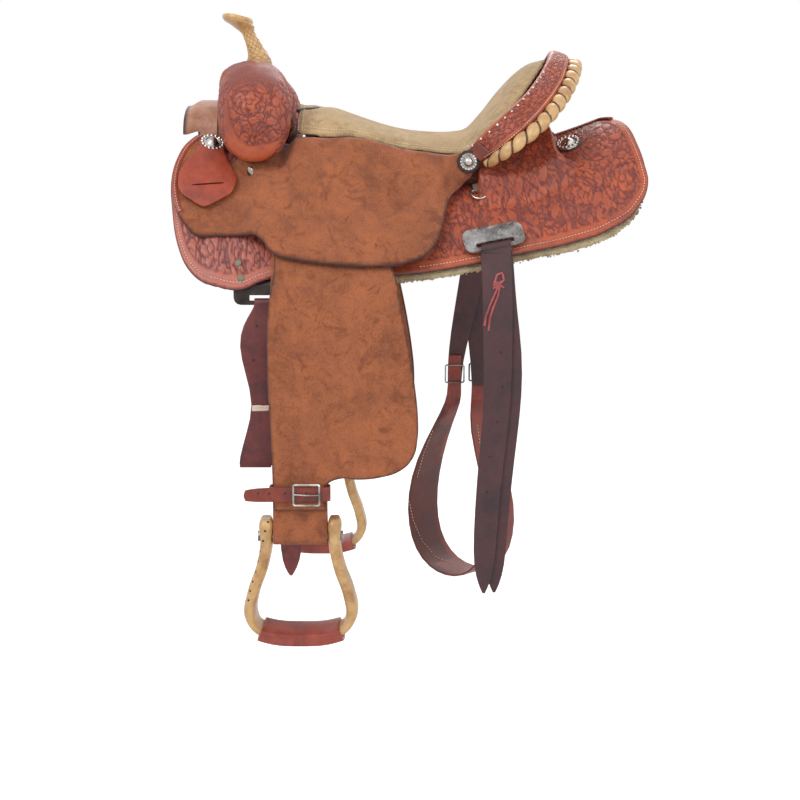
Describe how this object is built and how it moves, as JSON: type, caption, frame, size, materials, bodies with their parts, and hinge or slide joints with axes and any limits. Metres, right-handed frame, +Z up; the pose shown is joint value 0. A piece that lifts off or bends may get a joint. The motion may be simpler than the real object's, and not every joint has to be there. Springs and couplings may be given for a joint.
{
  "type": "barrel racing saddle",
  "caption": "Western barrel racing saddle with swinging fenders and stirrups, tooled skirts, suede seat, hanging billets and a looped flank cinch.",
  "frame": {"origin": "on the centre line at the middle of the back, under the seat, where the horse carries the saddle", "axes": "-X towards the horn and the horse's head, +Y to the off (right) side, +Z up"},
  "size_m": [0.6784, 0.5854, 0.9302],
  "materials": {
    "tooled_leather": "satin, floral tooled",
    "smooth_leather": "satin",
    "roughout_leather": "rough",
    "seat_suede": "suede",
    "fleece": "woolly",
    "rawhide": "semi-gloss",
    "liner_leather": "smooth",
    "dark_leather": "oiled",
    "burgundy_leather": "oiled",
    "tree_wood": "plain",
    "steel": "dull",
    "silver": "engraved, tarnished"
  },
  "bodies": {
    "root": {"cantle_back": "tooled_leather", "cantle_binding": "rawhide", "cantle_board": "tree_wood", "cantle_roll": "tooled_leather", "concho_corner_near": "silver", "concho_corner_off": "silver", "concho_front_near": "silver", "concho_front_off": "silver", "concho_rear_near": "silver", "concho_rear_off": "silver", "dee_tab_near": "dark_leather", "dee_tab_off": "dark_leather", "fleece_near": "fleece", "fleece_off": "fleece", "front_rigging_plate_near": "steel", "front_rigging_plate_off": "steel", "ground_seat": "dark_leather", "gullet_liner": "liner_leather", "horn_core": "steel", "horn_wrap": "rawhide", "rear_rigging_plate_near": "silver", "rear_rigging_plate_off": "silver", "seat": "seat_suede", "seat_jockey_near": "roughout_leather", "seat_jockey_off": "roughout_leather", "skirt_near": "tooled_leather", "skirt_off": "tooled_leather", "swell_cover": "tooled_leather", "tree_bar_near": "tree_wood", "tree_bar_off": "tree_wood", "tree_fork": "tree_wood"},
    "dee_near": {"dee_ring_near": "silver"},
    "dee_off": {"dee_ring_off": "silver"},
    "leather_near": {"fender_near": "roughout_leather", "hobble_buckle_near": "silver", "hobble_strap_near": "roughout_leather", "stirrup_leather_near": "roughout_leather"},
    "leather_off": {"fender_off": "roughout_leather", "hobble_buckle_off": "silver", "hobble_strap_off": "roughout_leather", "stirrup_leather_off": "roughout_leather"},
    "flank_cinch": {"flank_buckle_front": "steel", "flank_buckle_rear": "steel", "flank_cinch": "burgundy_leather", "rear_billet_off": "dark_leather"},
    "front_billet": {"front_billet_off": "dark_leather"},
    "latigo": {"latigo_near": "burgundy_leather"},
    "rear_billet_near": {"rear_billet_near": "dark_leather"},
    "stirrup_near": {"stirrup_bolt_near": "steel", "stirrup_near": "rawhide", "stirrup_tread_near": "burgundy_leather"},
    "stirrup_off": {"stirrup_bolt_off": "steel", "stirrup_off": "rawhide", "stirrup_tread_off": "burgundy_leather"},
    "keeper_near": {"strap_keeper_near": "smooth_leather"},
    "keeper_off": {"strap_keeper_off": "smooth_leather"}
  },
  "joints": [
    {"name": "leather_swing_near", "type": "hinge", "parent": "root", "child": "leather_near", "pos_m": [-0.1395, -0.149, -0.062], "axis": [-0.0543, 0.7651, -0.6417], "range_deg": [-6, 12]},
    {"name": "stirrup_swing_near", "type": "hinge", "parent": "leather_near", "child": "stirrup_near", "pos_m": [-0.1395, -0.23812, -0.517], "axis": [-1, 0, 0], "range_deg": [-12, 45]},
    {"name": "dee_lift_near", "type": "hinge", "parent": "root", "child": "dee_near", "pos_m": [0.11184, -0.12212, -0.03694], "axis": [-0.9677, -0.1288, -0.2167], "range_deg": [0, 70]},
    {"name": "keeper_turn_near", "type": "hinge", "parent": "root", "child": "keeper_near", "pos_m": [-0.27283, -0.08443, 0.02937], "axis": [-0.2303, 0.5972, -0.7683], "range_deg": [-5, 5]},
    {"name": "leather_swing_off", "type": "hinge", "parent": "root", "child": "leather_off", "pos_m": [-0.1395, 0.149, -0.062], "axis": [0.0543, 0.7651, 0.6417], "range_deg": [-6, 12]},
    {"name": "stirrup_swing_off", "type": "hinge", "parent": "leather_off", "child": "stirrup_off", "pos_m": [-0.1395, 0.23812, -0.517], "axis": [1, 0, 0], "range_deg": [-12, 45]},
    {"name": "dee_lift_off", "type": "hinge", "parent": "root", "child": "dee_off", "pos_m": [0.11184, 0.12212, -0.03694], "axis": [0.9677, -0.1288, 0.2167], "range_deg": [0, 70]},
    {"name": "keeper_turn_off", "type": "hinge", "parent": "root", "child": "keeper_off", "pos_m": [-0.27283, 0.08443, 0.02937], "axis": [0.2303, 0.5972, 0.7683], "range_deg": [-5, 5]},
    {"name": "rear_billet_swing_near", "type": "hinge", "parent": "root", "child": "rear_billet_near", "pos_m": [0.13402, -0.19272, -0.11514], "axis": [-0.9778, -0.0998, -0.184], "range_deg": [0, 35]},
    {"name": "rear_billet_swing_off", "type": "hinge", "parent": "root", "child": "flank_cinch", "pos_m": [0.13402, 0.19272, -0.11514], "axis": [0.9778, -0.0998, 0.184], "range_deg": [0, 25]},
    {"name": "latigo_swing_near", "type": "hinge", "parent": "root", "child": "latigo", "pos_m": [-0.183, -0.20686, -0.192], "axis": [-1, 0, 0], "range_deg": [-25, 2]},
    {"name": "front_billet_swing_off", "type": "hinge", "parent": "root", "child": "front_billet", "pos_m": [-0.183, 0.20686, -0.192], "axis": [1, 0, 0], "range_deg": [-25, 2]}
  ]
}
